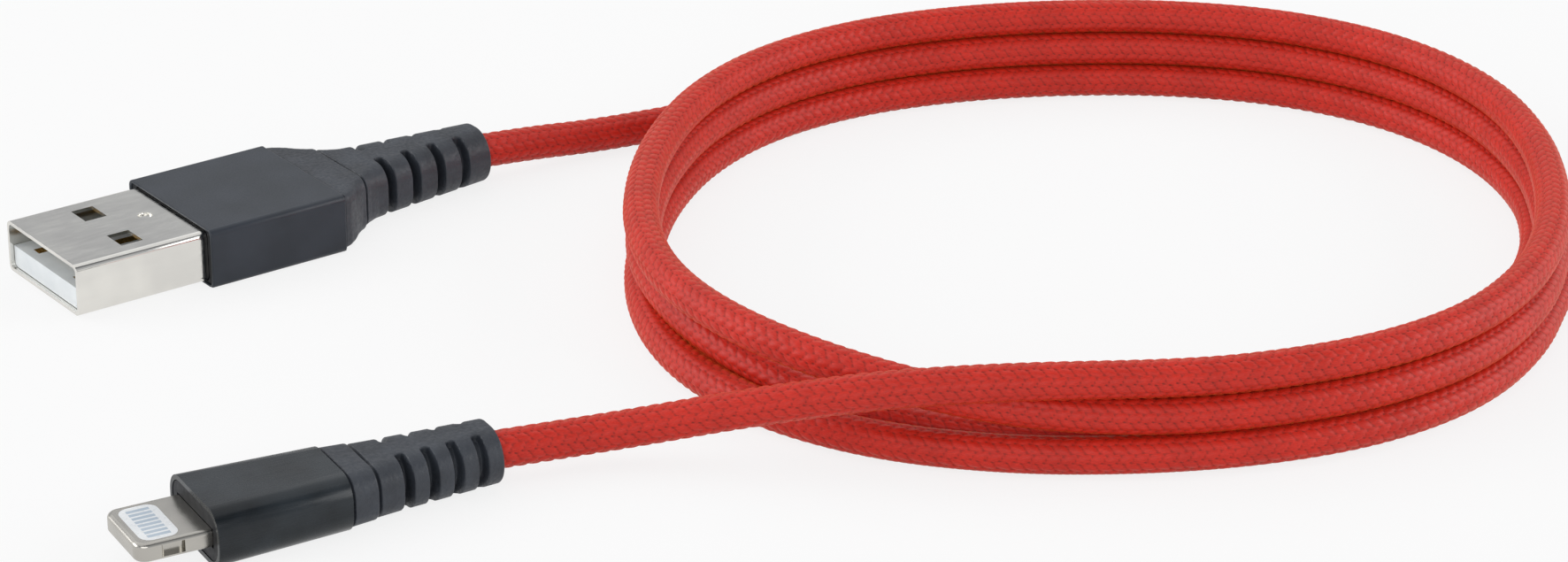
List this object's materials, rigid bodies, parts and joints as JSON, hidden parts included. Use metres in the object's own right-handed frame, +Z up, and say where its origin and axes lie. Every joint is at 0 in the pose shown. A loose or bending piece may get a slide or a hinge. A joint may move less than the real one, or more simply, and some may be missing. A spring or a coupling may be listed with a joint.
{
  "type": "charging cable",
  "caption": "Charging cable: a woven red cord wound in a flat coil, with a flat rectangular charger plug at one end, a small reversible phone plug at the other, and slotted strain reliefs",
  "frame": {"origin": "On the rest surface, under the middle of the charger plug", "axes": "+X along the charger plug from its mouth towards its cord, +Z up, +Y away from the phone plug"},
  "size_m": [0.1386, 0.0926, 0.009],
  "materials": {
    "nickel_plated_steel": "bright nickel plate on folded sheet",
    "tongue_plastic": "moulded white plastic",
    "gold_plate": "gold-plated contact strip",
    "anodised_aluminium": "dark anodised, fine satin",
    "bezel_plastic": "moulded black plastic",
    "boot_elastomer": "soft moulded elastomer, fine matt texture",
    "tinned_steel": "tinned sheet",
    "solder": "solder",
    "mould_plastic": "low-pressure moulded polyamide",
    "wire_red": "insulated conductor",
    "wire_black": "insulated conductor",
    "wire_white": "insulated conductor",
    "wire_green": "insulated conductor",
    "tab_metal": "satin plated machined metal",
    "insert_plastic": "moulded white plastic, flush ground",
    "contact_silver": "plated contact pad",
    "board_laminate": "glass-epoxy laminate",
    "chip_package": "moulded chip package",
    "capacitor_ceramic": "ceramic body",
    "braided_nylon": "woven red nylon sleeve"
  },
  "bodies": {
    "root": {"charger_shell": "nickel_plated_steel", "charger_tongue": "tongue_plastic", "charger_contacts": "gold_plate", "charger_housing": "anodised_aluminium", "charger_front_bezel": "bezel_plastic", "charger_shield_upper": "tinned_steel", "charger_shield_lower": "tinned_steel", "charger_inner_mould": "mould_plastic", "charger_solder_joints": "solder", "charger_wire_power": "wire_red", "charger_wire_data_minus": "wire_white", "charger_wire_data_plus": "wire_green", "charger_wire_ground": "wire_black", "charger_cord_end": "braided_nylon", "charger_collar": "boot_elastomer", "charger_crimp_ring": "tinned_steel", "charger_boot": "boot_elastomer", "phone_tab": "tab_metal", "phone_insert": "insert_plastic", "phone_contacts_upper": "contact_silver", "phone_contacts_lower": "contact_silver", "phone_circuit_board": "board_laminate", "phone_control_chip": "chip_package", "phone_power_switch": "chip_package", "phone_capacitors": "capacitor_ceramic", "phone_housing": "anodised_aluminium", "phone_front_cap": "bezel_plastic", "phone_shield_upper": "tinned_steel", "phone_shield_lower": "tinned_steel", "phone_inner_mould": "mould_plastic", "phone_solder_joints": "solder", "phone_wire_power": "wire_red", "phone_wire_data_minus": "wire_white", "phone_wire_data_plus": "wire_green", "phone_wire_ground": "wire_black", "phone_cord_end": "braided_nylon", "phone_collar": "boot_elastomer", "phone_crimp_ring": "tinned_steel", "phone_boot": "boot_elastomer", "cord_coil": "braided_nylon", "cord_lead_charger": "braided_nylon", "cord_lead_phone": "braided_nylon"}
  },
  "joints": []
}
